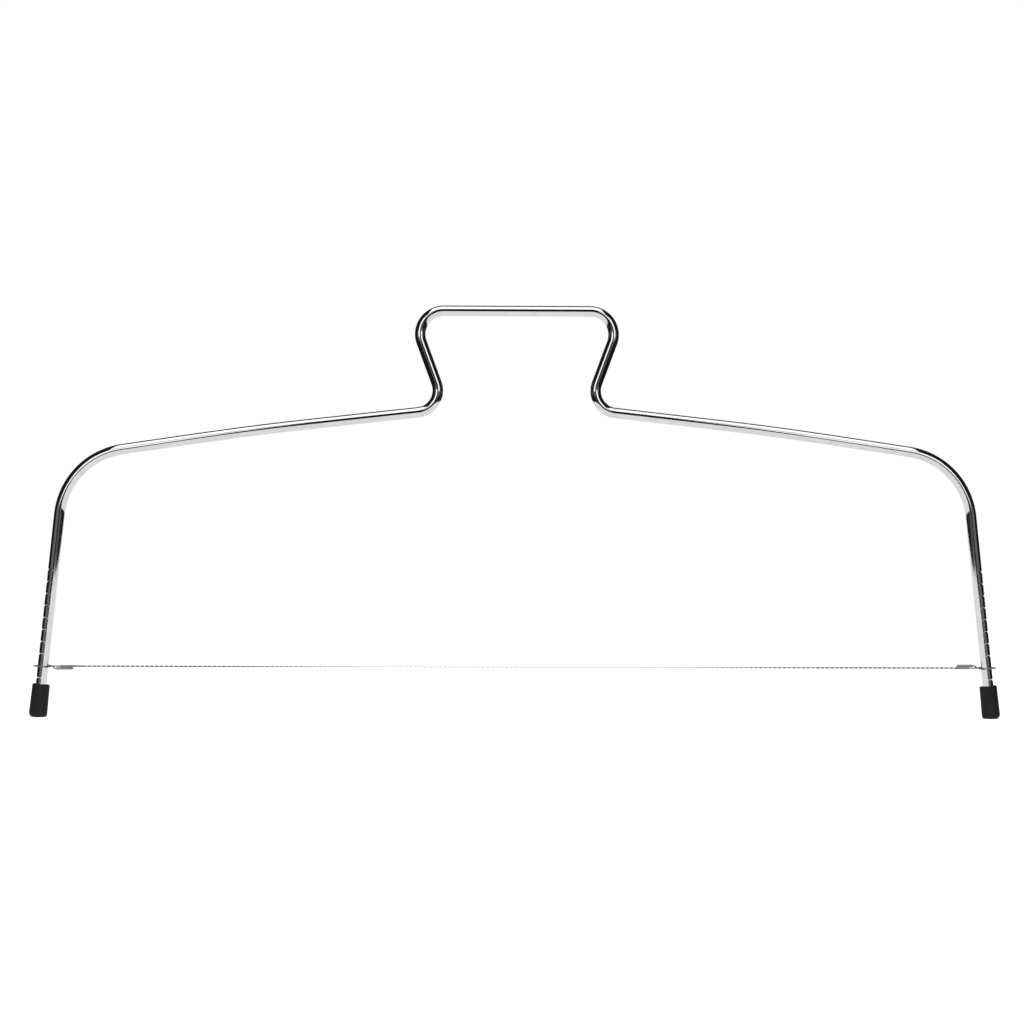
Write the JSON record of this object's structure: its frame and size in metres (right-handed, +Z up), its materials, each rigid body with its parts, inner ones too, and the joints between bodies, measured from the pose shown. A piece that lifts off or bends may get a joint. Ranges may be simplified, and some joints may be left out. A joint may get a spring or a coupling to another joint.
{
  "type": "cake leveler",
  "caption": "Bent chromed rod frame on rubber feet with a handle and a thin twisted cutting wire whose hooks move up and down along notches in the legs.",
  "frame": {"origin": "On the table, midway between the two feet, at the bottom centre of the bounding box", "axes": "+X to the right along the cutting wire, +Y from the front to the back through the thin frame, +Z up to the handle"},
  "size_m": [0.3306, 0.0062, 0.1402],
  "materials": {
    "chromed_rod": "polished chrome plating on a steel rod",
    "foot_rubber": "black moulded rubber, fine satin grain",
    "spring_steel": "drawn spring wire, bright with fine lengthwise lines",
    "ferrule_metal": "nickelled crimp sleeve, satin",
    "cutting_wire_steel": "bright stainless strands, twisted"
  },
  "bodies": {
    "frame": {"frame_rod": "chromed_rod", "left_foot": "foot_rubber", "right_foot": "foot_rubber"},
    "left_end": {"left_hook": "spring_steel", "left_ferrule": "ferrule_metal"},
    "right_end": {"right_hook": "spring_steel", "right_ferrule": "ferrule_metal"},
    "wire": {"cutting_wire": "cutting_wire_steel"}
  },
  "joints": [
    {"name": "wire_height", "type": "slide", "parent": "frame", "child": "wire", "axis": [0, 0, 1], "range_m": [-0.00408, 0.03263]},
    {"name": "left_hook_slide", "type": "slide", "parent": "frame", "child": "left_end", "axis": [0.1031, 0, 0.9947], "range_m": [-0.0041, 0.0328]},
    {"name": "right_hook_slide", "type": "slide", "parent": "frame", "child": "right_end", "axis": [-0.1031, 0, 0.9947], "range_m": [-0.0041, 0.0328]}
  ],
  "couplings": [
    {"joint": "left_hook_slide", "follows": "wire_height", "ratio": 1.0054},
    {"joint": "right_hook_slide", "follows": "wire_height", "ratio": 1.0054}
  ]
}
